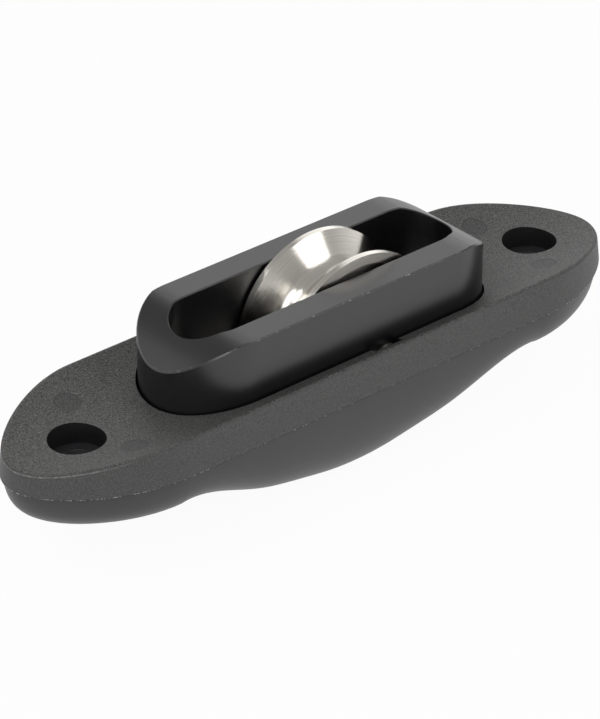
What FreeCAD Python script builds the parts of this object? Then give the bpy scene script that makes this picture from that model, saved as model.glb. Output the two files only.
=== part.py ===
import FreeCAD, Part
import Sketcher
import os
import math
from FreeCAD import Placement, Rotation, Vector

# Flush sheave block: a moulded body screwed to a round tube, a slotted metal
# frame let into it, and a grooved sheave on a roller bearing in the slot.
#
# Millimetres. +X runs along the block, +Y across it and +Z towards the tube.
# The origin lies midway between the two screw holes, on the counterbore floors.

SIZES = {
    # moulded body, at its parting plane
    "end_margin": 12.0,
    "side_wall": 3.2,
    "end_length": 21.2,
    "end_fullness": 0.47,
    "parting_height": -0.15,
    "side_draft": 2.5,
    "end_draft": 8.0,
    "lip": 0.5,
    "lobe_depth": 7.85,
    "belly_depth": 15.75,
    "section_fullness": 0.785,
    "rim_round": 0.5,
    # mounting face, hollow to fit a tube
    "face_radius": 35.3,
    "counterbore_depth": 3.2,
    # screws
    "screw_offset": 13.9,
    "screw_bore": 5.3,
    "counterbore_bore": 8.5,
    "countersink_bore": 10.4,
    "countersink_angle": 90.0,
    # sheave frame
    "frame_length": 60.2,
    "cheek": 4.77,
    "frame_above_face": 11.45,
    "frame_below_face": 7.0,
    "roll_length": 8.2,
    "roll_radius": 16.0,
    "roll_start_angle": 15.0,
    "frame_edge_break": 0.18,
    "pocket_clearance": 0.35,
    # rope slot, through frame and body
    "end_wall": 4.6,
    "side_gap": 0.43,
    "mouth_round": 1.6,
    # axle
    "axle_offset": 4.2,
    "axle_height": 2.7,
    "pin_bore": 5.0,
    "pin_overhang": 1.2,
    "pin_edge_break": 0.4,
    "dimple_bore": 2.2,
    "dimple_depth": 0.8,
    "notch_clearance": 0.15,
    # sheave
    "sheave_bore": 28.7,
    "sheave_width": 10.8,
    "sheave_rim": 1.0,
    "groove_half_angle": 36.6,
    "rope_radius": 2.6,
    "dish_depth": 0.25,
    "dish_outer_bore": 25.6,
    "hub_bore": 16.0,
    # roller bearing
    "race_wall": 1.3,
    "roller_bore": 1.98,
    "roller_length": 8.4,
    "roller_count": 12,
    "running_gap": 0.02,
    "cage_wall": 1.0,
    "cage_side": 0.8,
    "cage_gap": 0.06,
    "washer_bore": 14.0,
    "washer_play": 0.05,
}

# Side profile of the belly: share of the half length of its straight sides,
# and share of the rise from lobe depth to belly depth.
BELLY_CURVE = [
    (0.0, 1.0),
    (0.145, 0.96),
    (0.29, 0.848),
    (0.522, 0.613),
    (0.638, 0.412),
    (0.755, 0.187),
    (0.85, 0.04),
    (0.92, -0.02),
    (1.0, 0.0),
]

# Sizes that follow from others, written as sheet formulas
DERIVED = {
    "slot_width": "=sheave_width + 2 * side_gap",
    "slot_length": "=frame_length - 2 * end_wall",
    "frame_width": "=slot_width + 2 * cheek",
    "rim_flat_length": "=frame_length - 2 * roll_length",
    "screw_pitch": "=frame_length + 2 * screw_offset",
    "block_width": "=frame_width + 2 * pocket_clearance + 2 * side_wall",
    "block_length": "=screw_pitch + 2 * end_margin",
    "straight_half": "=block_length / 2 - end_length",
    "under_half": "=block_width / 2 - lip",
    "axle_radius": "=pin_bore / 2",
    "race_radius": "=pin_bore / 2 + race_wall",
    "pitch_radius": "=pin_bore / 2 + race_wall + running_gap + roller_bore / 2",
    "outer_race_radius": "=pin_bore / 2 + race_wall + 2 * running_gap + roller_bore",
    "pin_length": "=frame_width + 2 * pin_overhang",
    "frame_top": "=counterbore_depth + frame_above_face",
    "frame_floor": "=counterbore_depth - frame_below_face",
    "frame_height": "=frame_above_face + frame_below_face",
    "body_floor": "=parting_height - belly_depth",
}

doc = FreeCAD.newDocument("flush_sheave_block")
sheet = doc.addObject("Spreadsheet::Sheet", "sizes")
NODES = []


def fill_sheet():
    """Write each size and each derived size to a named cell."""
    for row, (alias, value) in enumerate(SIZES.items(), start=1):
        sheet.set("A%d" % row, alias.replace("_", " "))
        sheet.set("B%d" % row, str(value))
        sheet.setAlias("B%d" % row, alias)
    doc.recompute()
    first = len(SIZES) + 1
    for row, (alias, formula) in enumerate(DERIVED.items(), start=first):
        sheet.set("A%d" % row, alias.replace("_", " "))
        sheet.set("B%d" % row, formula)
        sheet.setAlias("B%d" % row, alias)
    doc.recompute()


def size(alias):
    """Value of one named cell."""
    return float(sheet.get(alias))


def cell(text):
    """Expression text in which each word in braces is a sheet cell."""
    return text.replace("{", "sizes.").replace("}", "")


def bind(obj, **expressions):
    """Bind properties of an object to sheet cells."""
    for prop, text in expressions.items():
        obj.setExpression(prop.replace("__", "."), cell(text))


def node(obj, name):
    """Name a finished piece, so that it is written out."""
    obj.Label = name
    NODES.append(obj)
    return obj


def new_body(name):
    return doc.addObject("PartDesign::Body", name)


def plane_of(body, role):
    """One of a body's own origin planes."""
    return [f for f in body.Origin.OriginFeatures if f.Role == role][0]


def body_sketch(body, name, role="XY_Plane", height=None):
    """Sketch on an origin plane of its body, raised along the plane's normal."""
    sketch = body.newObject("Sketcher::SketchObject", name)
    sketch.AttachmentSupport = [(plane_of(body, role), "")]
    sketch.MapMode = "FlatFace"
    if height is not None:
        bind(sketch, AttachmentOffset__Base__z=height)
    return sketch


def drawn(sketch, kind, places):
    """The dimension's value as the geometry is first drawn."""
    if kind == "Radius":
        return sketch.Geometry[places[0]].Radius
    start = sketch.getPoint(*places[:2])
    end = sketch.getPoint(*places[2:])
    return end.x - start.x if kind == "DistanceX" else end.y - start.y


def constrain(sketch, text, kind, *places):
    """Add a dimension that reads its value from the sheet."""
    index = sketch.addConstraint(Sketcher.Constraint(kind, *places, drawn(sketch, kind, places)))
    sketch.setExpression("Constraints[%d]" % index, cell(text))


def draw_slot(sketch, length, width):
    """Closed slot along X, centred, with full round ends, sized by two formulas."""
    half = 20.0
    r = 5.0
    lines = [
        Part.LineSegment(Vector(-half, r, 0), Vector(half, r, 0)),
        Part.LineSegment(Vector(half, -r, 0), Vector(-half, -r, 0)),
    ]
    arcs = [
        Part.ArcOfCircle(Part.Circle(Vector(half, 0, 0), Vector(0, 0, 1), r),
                         -math.pi / 2, math.pi / 2),
        Part.ArcOfCircle(Part.Circle(Vector(-half, 0, 0), Vector(0, 0, 1), r),
                         math.pi / 2, 3 * math.pi / 2),
    ]
    sketch.addGeometry(lines + arcs, False)
    sketch.addConstraint([
        Sketcher.Constraint("Tangent", 0, 2, 2, 2),
        Sketcher.Constraint("Tangent", 1, 1, 2, 1),
        Sketcher.Constraint("Tangent", 1, 2, 3, 2),
        Sketcher.Constraint("Tangent", 0, 1, 3, 1),
        Sketcher.Constraint("Horizontal", 0),
        Sketcher.Constraint("Symmetric", 2, 3, 3, 3, -1, 1),
        Sketcher.Constraint("Equal", 2, 3),
    ])
    constrain(sketch, "(%s) / 2" % width, "Radius", 2)
    constrain(sketch, "(%s) / 2 - (%s) / 2" % (length, width), "DistanceX", -1, 1, 2, 3)


def draw_ring_profile(sketch, inner, outer, half_width):
    """Closed rectangle for a ring about the sketch's X axis, sized by formulas."""
    corners = [Vector(-2, 4, 0), Vector(2, 4, 0), Vector(2, 6, 0), Vector(-2, 6, 0)]
    for i in range(4):
        sketch.addGeometry(Part.LineSegment(corners[i], corners[(i + 1) % 4]), False)
    for i in range(4):
        sketch.addConstraint(Sketcher.Constraint("Coincident", i, 2, (i + 1) % 4, 1))
    sketch.addConstraint([
        Sketcher.Constraint("Horizontal", 2),
        Sketcher.Constraint("Vertical", 1),
        Sketcher.Constraint("Vertical", 3),
        Sketcher.Constraint("Symmetric", 0, 1, 0, 2, -2),
    ])
    constrain(sketch, "2 * (%s)" % half_width, "DistanceX", 0, 1, 0, 2)
    constrain(sketch, inner, "DistanceY", -1, 1, 0, 1)
    constrain(sketch, outer, "DistanceY", -1, 1, 2, 1)


def set_on_axle(obj):
    """Turn a piece made about X so that it lies about the axle."""
    obj.Placement = Placement(Vector(0, 0, 0), Rotation(Vector(0, 0, 1), 90))
    bind(obj, Placement__Base__x="{axle_offset}", Placement__Base__z="{axle_height}")


def ring_about_axle(name, inner, outer, half_width):
    """Revolved ring, centred on the axle."""
    body = new_body(name)
    sketch = body_sketch(body, name + "_profile")
    draw_ring_profile(sketch, inner, outer, half_width)
    ring = body.newObject("PartDesign::Revolution", name + "_turned")
    ring.Profile = sketch
    ring.ReferenceAxis = (sketch, ["H_Axis"])
    ring.Angle = 360
    set_on_axle(body)
    return body


# Moulded body
def corner_shares(fullness):
    """Poles of a rounded corner, as shares of its two legs: from the first leg's end to the second's."""
    return [(0, 1), (fullness, 1), (1, fullness), (1, 0)]


def end_curve(rx, ry, z, side, hand):
    """A quarter of the plan outline: from its straight side round to the nose."""
    start = side * size("straight_half")
    curve = Part.BezierCurve()
    curve.setPoles([Vector(start + side * rx * a, hand * ry * b, z)
                    for a, b in corner_shares(size("end_fullness"))])
    return curve.toShape()


def plan_outline(z, end_inset, side_inset):
    """Plan outline with straight sides and drawn-out round ends."""
    x = size("straight_half")
    rx = size("end_length") - end_inset
    ry = size("block_width") / 2 - side_inset
    return Part.Wire([
        end_curve(rx, ry, z, 1, -1),
        end_curve(rx, ry, z, 1, 1),
        Part.LineSegment(Vector(x, ry, z), Vector(-x, ry, z)).toShape(),
        end_curve(rx, ry, z, -1, 1),
        end_curve(rx, ry, z, -1, -1),
        Part.LineSegment(Vector(-x, -ry, z), Vector(x, -ry, z)).toShape(),
    ])


def flange_form():
    """Upper half: drafted from the parting plane to above the mounting face."""
    half = size("block_width") / 2
    sag = size("face_radius") - math.sqrt(size("face_radius") ** 2 - half ** 2)
    base = size("parting_height")
    top = size("counterbore_depth") + sag
    insets = [(top - base) * math.tan(math.radians(size(name)))
              for name in ("end_draft", "side_draft")]
    return Part.makeLoft([plan_outline(base, 0, 0), plan_outline(top, *insets)], True, True)


def section_curve(x, depth, hand):
    """Edge of the lower half's section, from the parting plane to the keel."""
    half = size("under_half")
    base = size("parting_height")
    curve = Part.BezierCurve()
    curve.setPoles([Vector(x, hand * half * share, base - depth * fall)
                    for fall, share in corner_shares(size("section_fullness"))])
    return curve.toShape()


def belly_section(x, depth):
    """Closed cross section of the lower half at one station."""
    half = size("under_half")
    base = size("parting_height")
    lid = Part.LineSegment(Vector(x, half, base), Vector(x, -half, base)).toShape()
    return Part.Wire([section_curve(x, depth, -1), section_curve(x, depth, 1), lid])


def belly_form():
    """Lower half between the end lobes, lofted through its sections."""
    reach = size("straight_half")
    lobe = size("lobe_depth")
    rise = size("belly_depth") - lobe
    right = [(share * reach, lobe + lift * rise) for share, lift in BELLY_CURVE]
    stations = [(-x, depth) for x, depth in reversed(right[1:])] + right
    return Part.makeLoft([belly_section(x, depth) for x, depth in stations], True, False)


def lobe_skin(side, hand):
    """A quarter of an end lobe: the section's corner carried round the plan's corner."""
    rx = size("end_length") - size("lip")
    ry = size("under_half")
    skin = Part.BezierSurface()
    skin.increase(3, 3)
    for i, (a, b) in enumerate(corner_shares(size("end_fullness")), start=1):
        for j, (fall, share) in enumerate(corner_shares(size("section_fullness")), start=1):
            skin.setPole(i, j, Vector(
                side * (size("straight_half") + rx * a * share), hand * ry * b * share,
                size("parting_height") - size("lobe_depth") * fall))
    return skin.toShape()


def lobe_form(side):
    """Rounded end lobe under the flange, closed by a flat lid and back."""
    x = side * size("straight_half")
    half = size("under_half")
    base = size("parting_height")
    rx = size("end_length") - size("lip")
    lid = Part.Wire([
        end_curve(rx, half, base, side, -1),
        end_curve(rx, half, base, side, 1),
        Part.LineSegment(Vector(x, half, base), Vector(x, -half, base)).toShape(),
    ])
    shell = Part.Shell([
        lobe_skin(side, 1), lobe_skin(side, -1), Part.Face(lid),
        Part.Face(belly_section(x, size("lobe_depth"))),
    ])
    shell.sewShape()
    lobe = Part.Solid(shell)
    if lobe.Volume < 0:
        lobe.reverse()
    return lobe


def slot_tool(name, length, width, low, high):
    """Upright slot-shaped cutter between two heights."""
    sketch = doc.addObject("Sketcher::SketchObject", name + "_outline")
    draw_slot(sketch, length, width)
    bind(sketch, Placement__Base__z=low)
    tool = doc.addObject("Part::Extrusion", name)
    tool.Base = sketch
    tool.DirMode = "Normal"
    tool.Solid = True
    bind(tool, LengthFwd="(%s) - (%s)" % (high, low))
    return tool


def cylinder_z(name, radius, low, high, x):
    """Upright cylindrical cutter."""
    tool = doc.addObject("Part::Cylinder", name)
    bind(tool, Radius=radius, Height="(%s) - (%s)" % (high, low),
         Placement__Base__x=x, Placement__Base__z=low)
    return tool


def screw_tools(side, name):
    """Screw hole with a counterbore above and a countersink below."""
    x = "%d * {screw_pitch} / 2" % side
    floor = "{parting_height} - {lobe_depth}"
    sink = "({countersink_bore} - {screw_bore}) / 2 / tan({countersink_angle} / 2 * 1 deg)"
    hole = cylinder_z("hole_" + name, "{screw_bore} / 2", floor + " - 1", "1", x)
    rim = cylinder_z("counterbore_" + name, "{counterbore_bore} / 2", "0",
                     "{counterbore_depth} + 4", x)
    cone = doc.addObject("Part::Cone", "countersink_" + name)
    bind(cone, Radius1="{countersink_bore} / 2", Radius2="{screw_bore} / 2", Height=sink,
         Placement__Base__x=x, Placement__Base__z=floor)
    below = cylinder_z("clear_" + name, "{countersink_bore} / 2", floor + " - 2", floor, x)
    return [hole, rim, cone, below]


def notch_tools():
    """Notch across the body for the pin's ends, open to the mounting face."""
    radius = "{axle_radius} + {notch_clearance}"
    length = "{pin_length} + 2 * {notch_clearance}"
    round_part = doc.addObject("Part::Cylinder", "notch_round")
    round_part.Placement = Placement(Vector(0, 0, 0), Rotation(Vector(1, 0, 0), 90))
    bind(round_part, Radius=radius, Height=length, Placement__Base__x="{axle_offset}",
         Placement__Base__y="(%s) / 2" % length, Placement__Base__z="{axle_height}")
    upper = doc.addObject("Part::Box", "notch_upper")
    bind(upper, Length="2 * (%s)" % radius, Width=length, Height="{counterbore_depth} + 4",
         Placement__Base__x="{axle_offset} - (%s)" % radius,
         Placement__Base__y="-(%s) / 2" % length, Placement__Base__z="{axle_height}")
    return [round_part, upper]


def fused(name, objects):
    fuse = doc.addObject("Part::MultiFuse", name)
    fuse.Shapes = objects
    return fuse


def cut(name, base, tool):
    result = doc.addObject("Part::Cut", name)
    result.Base = base
    result.Tool = tool
    return result


def face_tool():
    """Round bar that hollows the mounting face."""
    bar = doc.addObject("Part::Cylinder", "tube_form")
    bar.Placement = Placement(Vector(0, 0, 0), Rotation(Vector(0, 1, 0), 90))
    bind(bar, Radius="{face_radius}", Height="{block_length} + 20",
         Placement__Base__x="-{block_length} / 2 - 10",
         Placement__Base__z="{counterbore_depth} + {face_radius}")
    return bar


def rim_edges(shape):
    """Edges of the mounting face that follow the plan outline."""
    found = []
    half = size("block_width") / 2
    reach = size("straight_half")
    radius = size("face_radius")
    centre = size("counterbore_depth") + radius
    for index, edge in enumerate(shape.Edges, start=1):
        first, last = edge.ParameterRange
        points = [edge.valueAt(first + (last - first) * i / 6) for i in range(7)]
        on_face = all(abs(math.hypot(p.y, p.z - centre) - radius) < 0.02 for p in points)
        outer = all(abs(p.y) > half - 3 or abs(p.x) > reach + 1 for p in points)
        tight = [p for p in points
                 if math.hypot(abs(p.x) - size("screw_pitch") / 2, p.y)
                 < size("counterbore_bore") / 2 + 0.2]
        if on_face and outer and not tight:
            found.append(index)
    return found


def mouth_edges(shape):
    """Edges of the rope slot where it leaves the belly."""
    found = []
    half = size("slot_width") / 2
    cap = size("slot_length") / 2 - half
    for index, edge in enumerate(shape.Edges, start=1):
        first, last = edge.ParameterRange
        points = [edge.valueAt(first + (last - first) * i / 6) for i in range(7)]
        on_wall = all(abs(math.hypot(max(abs(p.x) - cap, 0), p.y) - half) < 0.01
                      for p in points)
        upright = edge.BoundBox.ZLength > 0.8 * edge.Length
        if on_wall and not upright and max(p.z for p in points) < size("frame_floor") - 0.5:
            found.append(index)
    return found


def make_moulding():
    """Moulded body with its pocket, rope slot, screw holes and pin notches."""
    form = doc.addObject("Part::Feature", "moulding_form")
    form.Shape = flange_form().fuse([belly_form(), lobe_form(1), lobe_form(-1)])
    pocket = slot_tool("pocket", "{frame_length} + 2 * {pocket_clearance}",
                       "{frame_width} + 2 * {pocket_clearance}",
                       "{frame_floor}", "{frame_top}")
    rope_way = slot_tool("rope_way", "{slot_length}", "{slot_width}",
                         "{body_floor} - 2", "{frame_top}")
    tools = [face_tool(), pocket, rope_way] + notch_tools()
    tools += screw_tools(1, "right") + screw_tools(-1, "left")
    machined = cut("moulding_cut", form, fused("moulding_tools", tools))
    doc.recompute()
    rounded = doc.addObject("Part::Fillet", "moulding_rounded")
    rounded.Base = machined
    rim = size("rim_round")
    mouth = size("mouth_round")
    rounded.Edges = ([(i, rim, rim) for i in rim_edges(machined.Shape)]
                     + [(i, mouth, mouth) for i in mouth_edges(machined.Shape)])
    return node(rounded, "moulding")


# Sheave frame
def draw_roll(sketch):
    """Closed outline above the rolled-down end of the frame, at +X."""
    start = math.radians(size("roll_start_angle"))
    radius = size("roll_radius")
    x0 = size("rim_flat_length") / 2
    top = size("frame_top")
    centre = Vector(x0 - radius * math.sin(start), top - radius * math.cos(start), 0)
    sketch.addGeometry([
        Part.ArcOfCircle(Part.Circle(centre, Vector(0, 0, 1), radius), 0, math.pi / 2 - start),
        Part.LineSegment(Vector(x0, top, 0), Vector(x0, top + 5, 0)),
        Part.LineSegment(Vector(x0, top + 5, 0), Vector(centre.x + radius, top + 5, 0)),
        Part.LineSegment(Vector(centre.x + radius, top + 5, 0),
                         Vector(centre.x + radius, centre.y, 0)),
    ], False)
    sketch.addConstraint([
        Sketcher.Constraint("Coincident", 0, 2, 1, 1),
        Sketcher.Constraint("Coincident", 1, 2, 2, 1),
        Sketcher.Constraint("Coincident", 2, 2, 3, 1),
        Sketcher.Constraint("Tangent", 3, 2, 0, 1),
        Sketcher.Constraint("Vertical", 1),
        Sketcher.Constraint("Horizontal", 2),
        Sketcher.Constraint("Vertical", 3),
    ])
    constrain(sketch, "{roll_radius}", "Radius", 0)
    constrain(sketch, "{rim_flat_length} / 2", "DistanceX", -1, 1, 1, 1)
    constrain(sketch, "{frame_top}", "DistanceY", -1, 1, 1, 1)
    constrain(sketch, "{roll_radius} * cos({roll_start_angle} * 1 deg)",
              "DistanceY", 0, 3, 0, 2)
    constrain(sketch, "5", "DistanceY", 1, 1, 1, 2)


def top_edges(shape):
    """Outer and slot edges of the frame's top, flat and rolled."""
    names = []
    low = size("counterbore_depth") + 1
    for index, edge in enumerate(shape.Edges, start=1):
        first, last = edge.ParameterRange
        points = [edge.valueAt(first + (last - first) * i / 4) for i in range(5)]
        upright = edge.BoundBox.ZLength > 0.95 * edge.Length
        across = edge.BoundBox.YLength > 0.95 * edge.Length and edge.BoundBox.ZLength < 0.01
        if min(p.z for p in points) > low and not upright and not across:
            names.append("Edge%d" % index)
    return names


def make_frame():
    """Slotted frame with full round ends, its top rolled down at both ends."""
    body = new_body("sheave_frame_body")
    outline = body_sketch(body, "frame_outline", height="{frame_floor}")
    draw_slot(outline, "{frame_length}", "{frame_width}")
    block = body.newObject("PartDesign::Pad", "frame_block")
    block.Profile = outline
    bind(block, Length="{frame_height}")
    roll = body_sketch(body, "frame_roll", "XZ_Plane")
    draw_roll(roll)
    rolled = body.newObject("PartDesign::Pocket", "frame_rolled")
    rolled.Profile = roll
    rolled.Midplane = True
    bind(rolled, Length="{frame_width} + 4")
    mirrored = body.newObject("PartDesign::Mirrored", "frame_both_ends")
    mirrored.Originals = [rolled]
    mirrored.MirrorPlane = (plane_of(body, "YZ_Plane"), [""])
    body.Tip = mirrored
    slot = body_sketch(body, "frame_slot", height="{frame_floor}")
    draw_slot(slot, "{slot_length}", "{slot_width}")
    slotted = body.newObject("PartDesign::Pocket", "frame_slotted")
    slotted.Profile = slot
    slotted.Reversed = True
    bind(slotted, Length="{frame_height} + 2")
    bore = body_sketch(body, "frame_bore", "XZ_Plane")
    bore.addGeometry(Part.Circle(Vector(4, 3, 0), Vector(0, 0, 1), 3), False)
    constrain(bore, "{axle_radius}", "Radius", 0)
    constrain(bore, "{axle_offset}", "DistanceX", -1, 1, 0, 3)
    constrain(bore, "{axle_height}", "DistanceY", -1, 1, 0, 3)
    bored = body.newObject("PartDesign::Pocket", "frame_bored")
    bored.Profile = bore
    bored.Midplane = True
    bind(bored, Length="{frame_width} + 4")
    doc.recompute()
    broken = body.newObject("PartDesign::Chamfer", "frame_edges")
    broken.Base = (bored, top_edges(bored.Shape))
    bind(broken, Size="{frame_edge_break}")
    return node(body, "sheave_frame")


# Axle pin
def make_pin():
    """Straight pin with broken edges and a centre dimple in each end."""
    body = new_body("axle_pin_body")
    outline = body_sketch(body, "pin_outline", "YZ_Plane")
    outline.addGeometry(Part.Circle(Vector(0, 0, 0), Vector(0, 0, 1), 3), False)
    outline.addConstraint(Sketcher.Constraint("Coincident", 0, 3, -1, 1))
    constrain(outline, "{axle_radius}", "Radius", 0)
    bar = body.newObject("PartDesign::Pad", "pin_bar")
    bar.Profile = outline
    bar.Midplane = True
    bind(bar, Length="{pin_length}")
    doc.recompute()
    ends = ["Edge%d" % (i + 1) for i, e in enumerate(bar.Shape.Edges)
            if e.Curve.TypeId == "Part::GeomCircle"]
    broken = body.newObject("PartDesign::Chamfer", "pin_edges")
    broken.Base = (bar, ends)
    bind(broken, Size="{pin_edge_break}")
    dimple = body_sketch(body, "pin_dimple")
    dimple.addGeometry([
        Part.LineSegment(Vector(11, 0, 0), Vector(13, 0, 0)),
        Part.LineSegment(Vector(13, 0, 0), Vector(13, 1.3, 0)),
        Part.LineSegment(Vector(13, 1.3, 0), Vector(11, 0, 0)),
    ], False)
    dimple.addConstraint([
        Sketcher.Constraint("Coincident", 0, 2, 1, 1),
        Sketcher.Constraint("Coincident", 1, 2, 2, 1),
        Sketcher.Constraint("Coincident", 2, 2, 0, 1),
        Sketcher.Constraint("PointOnObject", 0, 1, -1),
        Sketcher.Constraint("Horizontal", 0),
        Sketcher.Constraint("Vertical", 1),
    ])
    constrain(dimple, "{pin_length} / 2", "DistanceX", -1, 1, 0, 2)
    constrain(dimple, "{dimple_depth}", "DistanceX", 0, 1, 0, 2)
    constrain(dimple, "{dimple_bore} / 2", "DistanceY", 1, 1, 1, 2)
    sunk = body.newObject("PartDesign::Groove", "pin_sunk")
    sunk.Profile = dimple
    sunk.ReferenceAxis = (dimple, ["H_Axis"])
    sunk.Angle = 360
    both = body.newObject("PartDesign::Mirrored", "pin_both_ends")
    both.Originals = [sunk]
    both.MirrorPlane = (plane_of(body, "YZ_Plane"), [""])
    body.Tip = both
    set_on_axle(body)
    return node(body, "axle_pin")


# Sheave
def sheave_profile_points():
    """Right half of the sheave's section: axial place and radius of each corner."""
    half = size("sheave_width") / 2
    outer = size("sheave_bore") / 2
    flank = math.radians(size("groove_half_angle"))
    rim_y = half - size("sheave_rim")
    touch_y = size("rope_radius") * math.cos(flank)
    touch_r = outer - (rim_y - touch_y) / math.tan(flank)
    dish = size("dish_outer_bore") / 2
    hub = size("hub_bore") / 2
    depth = size("dish_depth")
    return [
        Vector(touch_y, touch_r, 0),
        Vector(rim_y, outer, 0),
        Vector(half, outer, 0),
        Vector(half, dish, 0),
        Vector(half - depth, dish - depth, 0),
        Vector(half - depth, hub + depth, 0),
        Vector(half, hub, 0),
        Vector(half, size("outer_race_radius"), 0),
    ]


def make_sheave():
    """Grooved sheave with two thin flanges, dished sides and a plain bore."""
    points = sheave_profile_points()
    flank = math.radians(size("groove_half_angle"))
    rope = size("rope_radius")
    centre = Vector(0, points[0].y + rope * math.sin(flank), 0)
    points.append(Vector(0, points[-1].y, 0))
    points.append(Vector(0, centre.y - rope, 0))
    body = new_body("sheave_body")
    sketch = body_sketch(body, "sheave_section")
    lines = len(points) - 1
    for i in range(lines):
        sketch.addGeometry(Part.LineSegment(points[i], points[i + 1]), False)
    sketch.addGeometry(Part.ArcOfCircle(Part.Circle(centre, Vector(0, 0, 1), rope),
                                        -math.pi / 2, -flank), False)
    for i in range(lines):
        sketch.addConstraint(Sketcher.Constraint("Coincident", i, 2, i + 1, 1))
    sketch.addConstraint([
        Sketcher.Constraint("Coincident", 0, 1, lines, 2),
        Sketcher.Constraint("Horizontal", 1),
        Sketcher.Constraint("Vertical", 2),
        Sketcher.Constraint("Vertical", 4),
        Sketcher.Constraint("Vertical", 6),
        Sketcher.Constraint("Horizontal", 7),
        Sketcher.Constraint("PointOnObject", 8, 1, -2),
        Sketcher.Constraint("PointOnObject", 8, 2, -2),
        Sketcher.Constraint("PointOnObject", lines, 3, -2),
    ])
    half = "{sheave_width} / 2"
    touch = "{rope_radius} * cos({groove_half_angle} * 1 deg)"
    drop = "(%s - {sheave_rim} - %s) / tan({groove_half_angle} * 1 deg)" % (half, touch)
    constrain(sketch, touch, "DistanceX", -1, 1, 0, 1)
    constrain(sketch, "{sheave_bore} / 2 - " + drop, "DistanceY", -1, 1, 0, 1)
    constrain(sketch, "{rope_radius}", "Radius", lines)
    constrain(sketch, "{sheave_rim}", "DistanceX", 1, 1, 1, 2)
    constrain(sketch, half, "DistanceX", -1, 1, 2, 1)
    constrain(sketch, "{sheave_bore} / 2", "DistanceY", -1, 1, 2, 1)
    constrain(sketch, "{dish_outer_bore} / 2", "DistanceY", -1, 1, 3, 1)
    constrain(sketch, "{dish_depth}", "DistanceX", 3, 2, 3, 1)
    constrain(sketch, "{dish_depth}", "DistanceY", 3, 2, 3, 1)
    constrain(sketch, half, "DistanceX", -1, 1, 6, 1)
    constrain(sketch, "{dish_depth}", "DistanceY", 5, 2, 5, 1)
    constrain(sketch, "{hub_bore} / 2", "DistanceY", -1, 1, 6, 1)
    constrain(sketch, "{outer_race_radius}", "DistanceY", -1, 1, 7, 1)
    turned = body.newObject("PartDesign::Revolution", "sheave_turned")
    turned.Profile = sketch
    turned.ReferenceAxis = (sketch, ["H_Axis"])
    turned.Angle = 360
    both = body.newObject("PartDesign::Mirrored", "sheave_both_sides")
    both.Originals = [turned]
    both.MirrorPlane = (plane_of(body, "YZ_Plane"), [""])
    body.Tip = both
    set_on_axle(body)
    return node(body, "sheave")


# Roller bearing
def make_bearing():
    """Inner race on the pin, caged rollers round it, and two thrust washers."""
    node(ring_about_axle("inner_race_body", "{axle_radius}", "{race_radius}",
                         "{sheave_width} / 2"), "inner_race")
    make_cage()
    make_rollers()
    for name, side in (("thrust_washer_left", 1), ("thrust_washer_right", -1)):
        ring = ring_about_axle(name + "_body", "{race_radius} + {running_gap}",
                               "{washer_bore} / 2", "({side_gap} - {washer_play}) / 2")
        bind(ring, Placement__Base__y="%d * ({sheave_width} + {slot_width}) / 4" % side)
        node(ring, name)


def make_cage():
    """Ring between the races with one open window for each roller."""
    blank = ring_about_axle(
        "cage_blank", "{pitch_radius} - {cage_wall} / 2", "{pitch_radius} + {cage_wall} / 2",
        "{roller_length} / 2 + {cage_side}")
    windows = []
    for number in range(int(size("roller_count"))):
        tool = roller_cylinder("window_%02d" % (number + 1), number,
                               "{roller_bore} / 2 + {cage_gap}",
                               "{roller_length} + 2 * {cage_gap}")
        windows.append(tool)
    node(cut("cage_cut", blank, fused("cage_windows", windows)), "roller_cage")


def roller_cylinder(name, number, radius, length):
    """Cylinder at one place on the pitch circle, along the axle."""
    angle = "%d * 360 / {roller_count} * 1 deg" % number
    roller = doc.addObject("Part::Cylinder", name)
    roller.Placement = Placement(Vector(0, 0, 0), Rotation(Vector(1, 0, 0), 90))
    bind(roller, Radius=radius, Height=length,
         Placement__Base__x="{axle_offset} + {pitch_radius} * cos(%s)" % angle,
         Placement__Base__y="(%s) / 2" % length,
         Placement__Base__z="{axle_height} + {pitch_radius} * sin(%s)" % angle)
    return roller


def make_rollers():
    for number in range(int(size("roller_count"))):
        name = "roller_%02d" % (number + 1)
        node(roller_cylinder(name, number, "{roller_bore} / 2", "{roller_length}"), name)


def check_and_write():
    """Stop on any failed object, then write one file for each piece."""
    doc.recompute()
    for obj in doc.Objects:
        bad = [s for s in obj.State if s in ("Invalid", "Error")]
        if bad:
            raise RuntimeError("%s is %s" % (obj.Name, bad))
    os.makedirs("parts", exist_ok=True)
    for obj in NODES:
        shape = obj.Shape
        if shape.isNull() or not shape.isValid() or not shape.Solids:
            raise RuntimeError("%s has no sound solid" % obj.Label)
        shape.exportStep(os.path.join("parts", obj.Label + ".step"))
        box = shape.BoundBox
        print("%-20s %2d solid %9.2f mm3  x %.2f %.2f  y %.2f %.2f  z %.2f %.2f" % (
            obj.Label, len(shape.Solids), shape.Volume, box.XMin, box.XMax,
            box.YMin, box.YMax, box.ZMin, box.ZMax))


fill_sheet()
make_moulding()
make_frame()
make_pin()
make_sheave()
make_bearing()
check_and_write()
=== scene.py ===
import math

import bpy
from mathutils import Matrix, Vector


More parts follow.
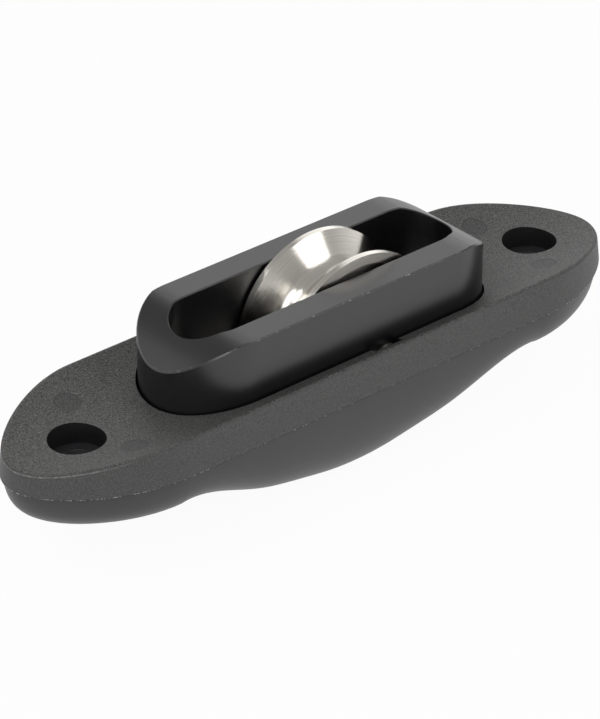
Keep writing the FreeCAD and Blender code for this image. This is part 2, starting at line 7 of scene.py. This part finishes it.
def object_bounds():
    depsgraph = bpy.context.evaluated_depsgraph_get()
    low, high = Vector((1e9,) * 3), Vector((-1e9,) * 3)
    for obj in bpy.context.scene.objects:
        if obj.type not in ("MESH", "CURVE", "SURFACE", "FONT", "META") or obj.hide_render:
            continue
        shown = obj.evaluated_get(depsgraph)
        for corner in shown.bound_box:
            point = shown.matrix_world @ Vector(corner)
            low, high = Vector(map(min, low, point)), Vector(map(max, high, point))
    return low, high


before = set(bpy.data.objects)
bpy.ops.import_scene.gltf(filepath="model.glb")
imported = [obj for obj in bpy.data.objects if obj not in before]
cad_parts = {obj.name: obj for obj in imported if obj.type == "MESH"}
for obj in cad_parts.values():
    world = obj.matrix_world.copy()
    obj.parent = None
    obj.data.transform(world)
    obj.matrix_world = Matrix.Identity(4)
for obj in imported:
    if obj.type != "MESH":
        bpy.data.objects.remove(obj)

CAD_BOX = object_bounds()

MM = 0.001

# Places on the block, in metres from its origin
BLOCK_HALF = (56.0 * MM, 14.15 * MM)
PARTING_Z = -0.15 * MM
EJECTOR_MARK = (39.7 * MM, 7.7 * MM)
EJECTOR_RADIUS = 1.9 * MM
FRAME_HALF = 30.1 * MM
FRAME_ROUND = 10.6 * MM
RIM_FLAT_HALF = 21.9 * MM
SLOT_HALF = 25.5 * MM
SLOT_ROUND = 5.83 * MM
AXLE = (4.2 * MM, 0.0, 2.7 * MM)
# A height between the screws' seats, at 0, and the lowest of the mounting face, at 3.2 mm
ABOVE_SEATS = 1 * MM

# Patterns on the moulding: grain, pits, clouds, ejector circles, flash and the painted shade
# along it (rings and lines by their half widths), and how far out along the block the flash and
# the painted rim highlight get stronger
GRAIN = 0.21 * MM
GRAIN_DEPTH = 0.06 * MM
PITS = 0.8 * MM
NYLON_CLOUD = 11 * MM
PARTING_BLEND = 0.05 * MM
EJECTOR_EDGE = 0.08 * MM
EJECTOR_RING = 0.11 * MM
FLASH_AND_SHADE_HALF = 0.10 * MM
FLASH_GRAIN = 0.4 * MM
FLASH_FROM, FLASH_FULL = 20 * MM, 45 * MM
NOSE_FROM, NOSE_FULL = 42 * MM, 48 * MM

# Patterns on the frame: rubbed edges, chips, clouds in the dye, cutter marks, and the
# blend at the ends of the flat rim; the two depths are in mm, as its bump takes them
EDGE_HALF = 0.17 * MM
CHIPS = 0.9 * MM
DYE_CLOUD = 14 * MM
CUTTER_PITCH = 0.3 * MM
CUTTER_DEPTH = 0.0024
RIM_BLEND_HALF = 2.6 * MM
RIM_DIP = 0.17

# Patterns on the metal and acetal: scratches along the rings, the rings' depth, clouds
SCRATCH_WIDTH = 0.15 * MM
SCRATCH_ROUND = 1.2 * MM
RING_DEPTH = 0.005 * MM
ACETAL_CLOUD = 1.5 * MM

# Studio: the floor's half width, and the dark patch under the rope slot
FLOOR_HALF = 1.5
SLOT_SHADE = (32 * MM, 6 * MM)

# Camera: angles in degrees, aim in mm, fitted to the photograph's outline
CAMERA_ANGLES = (-40.6, 30.75, -0.19)
CAMERA_DISTANCE = 540.14 * MM
CAMERA_AIM = (-2.66, -0.08, 0.19)
CAMERA_LENS = 183.47
CAMERA_SENSOR = 36.0

MATH = "ShaderNodeMath"
VECTOR = "ShaderNodeVectorMath"
NOISE = "ShaderNodeTexNoise"
RANGE = "ShaderNodeMapRange"
MIX = "ShaderNodeMix"


# Camera
def place_camera():
    """Camera at the photograph's angle: a long lens from the left, in front and above."""
    azimuth, elevation, roll = (math.radians(a) for a in CAMERA_ANGLES)
    aim = Vector(CAMERA_AIM) * MM
    back = Vector((math.sin(azimuth) * math.cos(elevation),
                   -math.cos(azimuth) * math.cos(elevation), math.sin(elevation)))
    right = Vector((math.cos(azimuth), math.sin(azimuth), 0.0))
    up = back.cross(right)
    turned_right = right * math.cos(roll) + up * math.sin(roll)
    turned_up = up * math.cos(roll) - right * math.sin(roll)
    camera = bpy.data.objects.new("camera", bpy.data.cameras.new("camera"))
    bpy.context.scene.collection.objects.link(camera)
    axes = Matrix((turned_right, turned_up, back)).transposed().to_4x4()
    camera.matrix_world = Matrix.Translation(aim + back * CAMERA_DISTANCE) @ axes
    camera.data.lens = CAMERA_LENS
    camera.data.sensor_width = CAMERA_SENSOR
    camera.data.clip_start = 0.01
    camera.data.clip_end = 20.0
    bpy.context.scene.camera = camera


# Materials
def srgb(code):
    """Linear colour of an sRGB hex code."""
    parts = [int(code[i:i + 2], 16) / 255 for i in (1, 3, 5)]
    return [p / 12.92 if p <= 0.04045 else ((p + 0.055) / 1.055) ** 2.4 for p in parts] + [1.0]


def add(tree, kind, inputs=None, out=0, **settings):
    """Add a node: settings are its properties, inputs its sockets' values or links."""
    made = tree.nodes.new(kind)
    for name, value in settings.items():
        setattr(made, name, value)
    for key, value in (inputs or {}).items():
        if isinstance(value, bpy.types.NodeSocket):
            tree.links.new(value, made.inputs[key])
        else:
            made.inputs[key].default_value = value
    return made.outputs[out]


def start_material(name, **sockets):
    """Material whose shader has these constant sockets: returns it, its tree, its shader."""
    material = bpy.data.materials.new(name)
    material.use_nodes = True
    shader = material.node_tree.nodes["Principled BSDF"]
    for key, value in sockets.items():
        shader.inputs[key.replace("_", " ")].default_value = value
    return material, material.node_tree, shader


def moulded_nylon():
    """Glass-filled nylon: a spark-eroded grain above the parting line, satin below it."""
    material, tree, shader = start_material("glass_filled_nylon", IOR=1.53)
    place = add(tree, "ShaderNodeTexCoord", out="Object")
    along = add(tree, "ShaderNodeSeparateXYZ", {0: place}, out=0)
    height = add(tree, "ShaderNodeSeparateXYZ", {0: place}, out=2)
    normal = add(tree, "ShaderNodeNewGeometry", out="Normal")
    up = add(tree, "ShaderNodeSeparateXYZ", {0: normal}, out=2)
    flat = add(tree, RANGE, {"Value": up, "From Min": 0.75, "From Max": 0.9})
    above = add(tree, RANGE, {"Value": height, "From Min": PARTING_Z - PARTING_BLEND,
                              "From Max": PARTING_Z + PARTING_BLEND})
    # Outer skin: outside an ellipse that holds the pocket and the screw holes
    reach = add(tree, VECTOR, {0: place, 1: (1 / BLOCK_HALF[0], 1 / BLOCK_HALF[1], 0.0)},
                operation="MULTIPLY")
    skin = add(tree, RANGE, {"Value": add(tree, VECTOR, {0: reach}, out="Value",
                                          operation="LENGTH"),
                             "From Min": 0.965, "From Max": 0.975})
    # Grain of about 0.2 mm, a little coarser than the real one so that it shows
    grain = add(tree, NOISE, {"Vector": place, "Scale": 1 / GRAIN, "Detail": 3.0,
                              "Roughness": 0.8})
    coarse = add(tree, NOISE, {"Vector": place, "Scale": 1 / PITS, "Detail": 2.0})
    cloud = add(tree, NOISE, {"Vector": place, "Scale": 1 / NYLON_CLOUD, "Detail": 3.0})
    fleck = add(tree, RANGE, {"Value": grain, "From Min": 0.41, "From Max": 0.67})
    face = add(tree, MIX, {0: fleck, 6: srgb("#252525"), 7: srgb("#757472")}, out=2,
               data_type="RGBA")
    wall = add(tree, MIX, {0: fleck, 6: srgb("#353535"), 7: srgb("#555554")}, out=2,
               data_type="RGBA")
    eroded = add(tree, MIX, {0: flat, 6: wall, 7: face}, out=2, data_type="RGBA")
    satin = add(tree, MIX, {0: cloud, 6: srgb("#303032"), 7: srgb("#38383a")}, out=2,
                data_type="RGBA")
    body = add(tree, MIX, {0: above, 6: satin, 7: eroded}, out=2, data_type="RGBA")
    # Screw seats, screw holes and pocket walls are smooth, from polished steel; their walls are
    # painted much darker than the seats, as painted shade down in the holes and the pocket
    off_seats = add(tree, MATH, {0: height, 1: ABOVE_SEATS}, operation="GREATER_THAN")
    face_up = add(tree, MATH, {0: flat, 1: off_seats}, operation="MULTIPLY")
    bored = add(tree, MATH, {0: add(tree, MATH, {0: skin, 1: face_up}, operation="MAXIMUM"),
                             1: 0.5}, operation="LESS_THAN")
    polished_with_painted_shade = add(tree, MIX, {0: flat, 6: srgb("#0c0c0e"), 7: srgb("#242427")}, out=2,
                   data_type="RGBA")
    smooth = add(tree, MATH, {0: bored, 1: above}, operation="MULTIPLY")
    body = add(tree, MIX, {0: smooth, 6: body, 7: polished_with_painted_shade}, out=2, data_type="RGBA")
    # Four flush circles that ejector pins left on the mounting face
    folded = add(tree, VECTOR, {0: add(tree, VECTOR, {0: place}, operation="ABSOLUTE"),
                                1: (*EJECTOR_MARK, 0.0)}, operation="SUBTRACT")
    levelled = add(tree, VECTOR, {0: folded, 1: (1.0, 1.0, 0.0)}, operation="MULTIPLY")
    from_mark = add(tree, VECTOR, {0: levelled}, out="Value", operation="LENGTH")
    inside = add(tree, RANGE, {"Value": from_mark, "From Min": EJECTOR_RADIUS,
                               "From Max": EJECTOR_RADIUS - EJECTOR_EDGE})
    mark = add(tree, MATH, {0: inside, 1: flat}, operation="MULTIPLY")
    at_edge = add(tree, MATH, {0: from_mark, 1: EJECTOR_RADIUS, 2: EJECTOR_RING},
                  operation="COMPARE")
    ring = add(tree, MATH, {0: at_edge, 1: flat}, operation="MULTIPLY")
    shade = add(tree, MATH, {0: mark, 1: 0.4, 2: add(tree, MATH, {0: ring, 1: 0.5},
                                                     operation="MULTIPLY")},
                operation="MULTIPLY_ADD", use_clamp=True)
    marked = add(tree, MIX, {0: shade, 6: body, 7: srgb("#2a2a2b")}, out=2, data_type="RGBA")
    # Flash: a fine ragged line where the mould halves met, on a band painted dark as painted
    # shade under the lip there
    off_line = add(tree, MATH, {0: height, 1: PARTING_Z, 2: FLASH_AND_SHADE_HALF}, operation="COMPARE")
    ragged = add(tree, NOISE, {"Vector": place, "Scale": 1 / FLASH_GRAIN, "Detail": 4.0,
                               "Roughness": 0.75})
    far_out = add(tree, RANGE, {"Value": add(tree, MATH, {0: along}, operation="ABSOLUTE"),
                                "From Min": FLASH_FROM, "From Max": FLASH_FULL,
                                "To Max": 0.07})
    chip_level = add(tree, MATH, {0: ragged, 1: far_out}, operation="ADD")
    chips = add(tree, RANGE, {"Value": chip_level, "From Min": 0.56, "From Max": 0.66})
    line = add(tree, MATH, {0: off_line, 1: skin}, operation="MULTIPLY")
    rim = add(tree, MATH, {0: add(tree, MATH, {0: up, 1: 0.45, 2: 0.12}, operation="COMPARE"),
                           1: add(tree, MATH, {0: skin, 1: above}, operation="MULTIPLY")},
              operation="MULTIPLY")
    nose = add(tree, RANGE, {"Value": add(tree, MATH, {0: along}, operation="ABSOLUTE"),
                             "From Min": NOSE_FROM, "From Max": NOSE_FULL})
    rim_end = add(tree, MATH, {0: rim, 1: nose}, operation="MULTIPLY")
    faint_chips = add(tree, MATH, {0: chips, 1: 0.4}, operation="MULTIPLY")
    rim_chips = add(tree, MATH, {0: rim_end, 1: faint_chips}, operation="MULTIPLY")
    flash = add(tree, MATH, {0: add(tree, MATH, {0: line, 1: chips}, operation="MULTIPLY"),
                             1: rim_chips}, operation="MAXIMUM")
    # The band along the parting line is painted near black: painted shade under the lip of the
    # step there
    painted_parting_shade = add(tree, MIX, {0: line, 6: marked, 7: srgb("#161617")}, out=2,
                    data_type="RGBA")
    # The rim's rounded edge is painted lighter towards the ends: a painted highlight, not wear
    edge_wear_and_highlight = add(tree, MIX, {0: rim_end, 6: painted_parting_shade, 7: srgb("#5a5a59")}, out=2,
                 data_type="RGBA")
    colour = add(tree, MIX, {0: flash, 6: edge_wear_and_highlight, 7: srgb("#a9a8a5")}, out=2,
                 data_type="RGBA")
    tree.links.new(colour, shader.inputs["Base Color"])
    roughness = add(tree, RANGE, {"Value": above, "To Min": 0.42, "To Max": 0.55})
    tree.links.new(roughness, shader.inputs["Roughness"])
    pits = add(tree, MATH, {0: coarse, 1: 0.6, 2: grain}, operation="MULTIPLY_ADD")
    depth = add(tree, RANGE, {"Value": above, "To Min": 0.10, "To Max": 1.0})
    relief = add(tree, MATH, {0: pits, 1: depth}, operation="MULTIPLY")
    sunk = add(tree, MATH, {0: mark, 1: -0.5, 2: relief}, operation="MULTIPLY_ADD")
    bump = add(tree, "ShaderNodeBump", {"Height": sunk, "Strength": 1.0,
                                        "Distance": GRAIN_DEPTH})
    tree.links.new(bump, shader.inputs["Normal"])
    return material


def black_anodised():
    """Machined aluminium, satin black anodised, rubbed bright in places along its top edges."""
    material, tree, shader = start_material("black_anodised_aluminium", IOR=1.7)
    place = add(tree, "ShaderNodeTexCoord", out="Object")
    normal = add(tree, "ShaderNodeNewGeometry", out="Normal")
    up = add(tree, "ShaderNodeSeparateXYZ", {0: normal}, out=2)
    level_share = add(tree, RANGE, {"Value": up, "From Min": 0.55, "From Max": 0.98,
                                    "To Min": 0.15})
    not_wall = add(tree, MATH, {0: up, 1: 0.25}, operation="GREATER_THAN")
    facing_up = add(tree, MATH, {0: level_share, 1: not_wall}, operation="MULTIPLY")
    spread = add(tree, VECTOR, {0: place}, operation="ABSOLUTE")
    edges = []
    for half, radius in ((FRAME_HALF, FRAME_ROUND), (SLOT_HALF, SLOT_ROUND)):
        shifted = add(tree, VECTOR, {0: spread, 1: (half - radius, 0.0, 0.0)},
                      operation="SUBTRACT")
        past = add(tree, VECTOR, {0: shifted, 1: (0.0, 0.0, 0.0)}, operation="MAXIMUM")
        level = add(tree, VECTOR, {0: past, 1: (1.0, 1.0, 0.0)}, operation="MULTIPLY")
        reach = add(tree, VECTOR, {0: level}, out="Value", operation="LENGTH")
        at_edge = add(tree, MATH, {0: reach, 1: radius, 2: EDGE_HALF}, operation="COMPARE")
        edges.append(add(tree, MATH, {0: facing_up, 1: at_edge}, operation="MULTIPLY"))
    chips = add(tree, NOISE, {"Vector": place, "Scale": 1 / CHIPS, "Detail": 5.0,
                              "Roughness": 0.75})
    chipped = add(tree, RANGE, {"Value": chips, "From Min": 0.56, "From Max": 0.66})
    worn = add(tree, MATH, {0: edges[0], 1: chipped}, operation="MULTIPLY")
    edge_wear_and_highlight = add(tree, MATH, {0: edges[1], 1: 0.5, 2: edges[0]}, operation="MULTIPLY_ADD")
    cloud = add(tree, NOISE, {"Vector": place, "Scale": 1 / DYE_CLOUD, "Detail": 4.0})
    dye = add(tree, MIX, {0: cloud, 6: srgb("#07070a"), 7: srgb("#0d0d11")}, out=2,
              data_type="RGBA")
    edged = add(tree, MIX, {0: edge_wear_and_highlight, 6: dye, 7: srgb("#404043")}, out=2, data_type="RGBA")
    colour = add(tree, MIX, {0: worn, 6: edged, 7: srgb("#c9c7c3")}, out=2,
                 data_type="RGBA")
    tree.links.new(colour, shader.inputs["Base Color"])
    # Cutter marks along the frame, 0.3 mm apart
    drawn = add(tree, "ShaderNodeMapping", {"Vector": place, "Scale": (0.08, 1.0, 1.0)})
    streak = add(tree, NOISE, {"Vector": drawn, "Scale": 1 / CUTTER_PITCH, "Detail": 2.0})
    tree.links.new(add(tree, RANGE, {"Value": streak, "To Min": 0.27, "To Max": 0.37}),
                   shader.inputs["Roughness"])
    # The flat rim and the rolled ends blend over 5 mm instead of meeting in a crease
    out_along = add(tree, "ShaderNodeSeparateXYZ", {0: spread}, out=0)
    past_flat = add(tree, MATH, {0: out_along, 1: RIM_FLAT_HALF}, operation="SUBTRACT")
    off_crease = add(tree, MATH, {0: past_flat}, operation="ABSOLUTE")
    near = add(tree, RANGE, {"Value": off_crease, "From Max": RIM_BLEND_HALF, "To Min": 1.0,
                             "To Max": 0.0})
    blend = add(tree, MATH, {0: near, 1: near}, operation="MULTIPLY")
    on_top = add(tree, MATH, {0: up, 1: 0.5}, operation="GREATER_THAN")
    sunk = add(tree, MATH, {0: blend, 1: on_top}, operation="MULTIPLY")
    marks = add(tree, MATH, {0: streak, 1: CUTTER_DEPTH}, operation="MULTIPLY")
    relief = add(tree, MATH, {0: sunk, 1: -RIM_DIP, 2: marks}, operation="MULTIPLY_ADD")
    bump = add(tree, "ShaderNodeBump", {"Height": relief, "Strength": 1.0, "Distance": MM})
    tree.links.new(bump, shader.inputs["Normal"])
    return material


def turned_steel(name, light, dark, gloss, pitch, drag):
    """Stainless steel turned on a lathe: fine rings about the axle draw its gleam out."""
    material, tree, shader = start_material(name, Metallic=1.0, Anisotropic=drag,
                                            Anisotropic_Rotation=0.25)
    place = add(tree, "ShaderNodeTexCoord", out="Object")
    centred = add(tree, VECTOR, {0: place, 1: AXLE}, operation="SUBTRACT")
    level = add(tree, VECTOR, {0: centred, 1: (1.0, 0.0, 1.0)}, operation="MULTIPLY")
    radius = add(tree, VECTOR, {0: level}, out="Value", operation="LENGTH")
    across = add(tree, MATH, {0: add(tree, "ShaderNodeSeparateXYZ", {0: centred}, out=1)},
                 operation="ABSOLUTE")
    along = add(tree, MATH, {0: across, 1: 0.6, 2: radius}, operation="MULTIPLY_ADD")
    rings = add(tree, NOISE, {"W": along, "Scale": 1 / pitch, "Detail": 3.0, "Roughness": 0.7},
                noise_dimensions="1D")
    # Fine scratches along the rings, about 1.5 mm long on the sheave
    side, rise = (add(tree, "ShaderNodeSeparateXYZ", {0: centred}, out=axis) for axis in (0, 2))
    turn = add(tree, MATH, {0: side, 1: rise}, operation="ARCTAN2")
    arc = add(tree, MATH, {0: turn, 1: SCRATCH_ROUND}, operation="MULTIPLY")
    unrolled = add(tree, "ShaderNodeCombineXYZ", {0: arc, 1: along})
    smear = add(tree, NOISE, {"Vector": unrolled, "Scale": 1 / SCRATCH_WIDTH, "Detail": 2.0,
                              "Roughness": 0.6})
    tree.links.new(add(tree, MIX, {0: rings, 6: srgb(dark), 7: srgb(light)}, out=2,
                       data_type="RGBA"), shader.inputs["Base Color"])
    tree.links.new(add(tree, RANGE, {"Value": smear, "From Min": 0.3, "From Max": 0.7,
                                     "To Min": gloss - 0.04, "To Max": gloss + 0.06}),
                   shader.inputs["Roughness"])
    bump = add(tree, "ShaderNodeBump", {"Height": rings, "Strength": 0.6,
                                        "Distance": RING_DEPTH})
    tree.links.new(bump, shader.inputs["Normal"])
    tree.links.new(add(tree, "ShaderNodeTangent", direction_type="RADIAL", axis="Y"),
                   shader.inputs["Tangent"])
    return material


def natural_acetal():
    """Unpigmented acetal: milky, slightly waxy, turned smooth."""
    material, tree, shader = start_material("natural_acetal", Roughness=0.42, IOR=1.48)
    place = add(tree, "ShaderNodeTexCoord", out="Object")
    cloud = add(tree, NOISE, {"Vector": place, "Scale": 1 / ACETAL_CLOUD})
    tree.links.new(add(tree, MIX, {0: cloud, 6: srgb("#d6d2c6"), 7: srgb("#e2dfd6")}, out=2,
                       data_type="RGBA"), shader.inputs["Base Color"])
    return material


def dress(material, *names):
    """Put one material on the CAD nodes named."""
    for name in names:
        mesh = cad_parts[name].data
        for index in range(len(mesh.materials)):
            mesh.materials[index] = material
        if not mesh.materials:
            mesh.materials.append(material)


# Studio
def pale_floor(low):
    """Floor just under the block: white where it is seen, with a trace of the shadow kept."""
    half = FLOOR_HALF
    mesh = bpy.data.meshes.new("floor")
    mesh.from_pydata([(-half, -half, low), (half, -half, low), (half, half, low),
                      (-half, half, low)], [], [(0, 1, 2, 3)])
    floor = bpy.data.objects.new("floor", mesh)
    bpy.context.scene.collection.objects.link(floor)
    material, tree, shader = start_material("studio_floor", Roughness=0.9)
    shader.inputs["Base Color"].default_value = srgb("#f2f2f2")
    mirrored = add(tree, MATH, {0: add(tree, "ShaderNodeLightPath", out="Is Glossy Ray"),
                                1: add(tree, "ShaderNodeLightPath", out="Is Transmission Ray")},
                   operation="MAXIMUM")
    # Mirrored rays find no white right under the rope slot, where no light reaches
    foot = add(tree, VECTOR, {0: add(tree, "ShaderNodeTexCoord", out="Object"),
                              1: (1 / SLOT_SHADE[0], 1 / SLOT_SHADE[1], 0.0)},
               operation="MULTIPLY")
    open_floor = add(tree, RANGE, {"Value": add(tree, VECTOR, {0: foot}, out="Value",
                                                operation="LENGTH"),
                                   "From Min": 0.85, "From Max": 1.1})
    lit = add(tree, MATH, {0: mirrored, 1: open_floor}, operation="MULTIPLY")
    seen = add(tree, MATH, {0: add(tree, "ShaderNodeLightPath", out="Is Camera Ray"), 1: lit},
               operation="MAXIMUM")
    share = add(tree, MATH, {0: seen, 1: 0.95}, operation="MULTIPLY")
    white = add(tree, "ShaderNodeEmission", {"Color": srgb("#ffffff"), "Strength": 1.0})
    mixed = add(tree, "ShaderNodeMixShader", {0: share, 1: shader.outputs[0], 2: white})
    tree.links.new(mixed, tree.nodes["Material Output"].inputs["Surface"])
    mesh.materials.append(material)


def soft_world():
    """White world, brighter at the horizon than overhead."""
    world = bpy.data.worlds.new("studio_world")
    bpy.context.scene.world = world
    world.use_nodes = True
    tree = world.node_tree
    sky = tree.nodes["Background"]
    sky.inputs["Color"].default_value = srgb("#ffffff")
    direction = add(tree, "ShaderNodeTexCoord", out="Generated")
    rise = add(tree, "ShaderNodeSeparateXYZ", {0: direction}, out=2)
    tree.links.new(add(tree, RANGE, {"Value": rise, "From Min": 0.05, "From Max": 0.45,
                                     "To Min": 0.95, "To Max": 0.38}), sky.inputs["Strength"])


def soft_lamps():
    """Round soft lamps that face the block: direction, distance, width in metres, radiance."""
    for name, direction, distance, size, radiance in (
            ("front_right", (0.454, -0.727, 0.515), 1.0, 0.46, 3.3),
            ("behind_camera", (-0.62, -0.45, 0.64), 1.1, 0.60, 2.5),
            ("back_right", (0.62, 0.68, 0.45), 1.2, 0.90, 0.8),
            ("back_left", (-0.52, 0.66, 0.50), 1.2, 0.60, 0.6),
            ("overhead", (-0.55, 0.15, 0.82), 1.0, 0.40, 4.0)):
        light = bpy.data.lights.new(name, "AREA")
        light.shape = "DISK"
        light.size = size
        light.energy = radiance * math.pi * math.pi * (size / 2) ** 2
        lamp = bpy.data.objects.new(name, light)
        bpy.context.scene.collection.objects.link(lamp)
        place = Vector(direction).normalized() * distance
        lamp.location = place
        lamp.rotation_euler = (-place).to_track_quat("-Z", "Y").to_euler()


place_camera()
rollers = ["roller_%02d" % (i + 1) for i in range(12)]
dress(moulded_nylon(), "moulding")
dress(black_anodised(), "sheave_frame")
dress(turned_steel("turned_stainless", "#f0ece4", "#cfcac2", 0.20, 0.22 * MM, 0.85), "sheave")
# The pin's steel is painted dark grey instead of bright: painted shade for the dark hollow in
# its end
dress(turned_steel("pin_steel_painted_dark", "#4a4846", "#33312f", 0.33, 0.3 * MM, 0.3), "axle_pin")
dress(turned_steel("bearing_steel", "#d5d5d5", "#bdbdbd", 0.15, 0.3 * MM, 0.3),
      "inner_race", *rollers)
dress(natural_acetal(), "roller_cage", "thrust_washer_left", "thrust_washer_right")
pale_floor(CAD_BOX[0][2])
soft_world()
soft_lamps()
bpy.context.scene.view_settings.view_transform = "Standard"
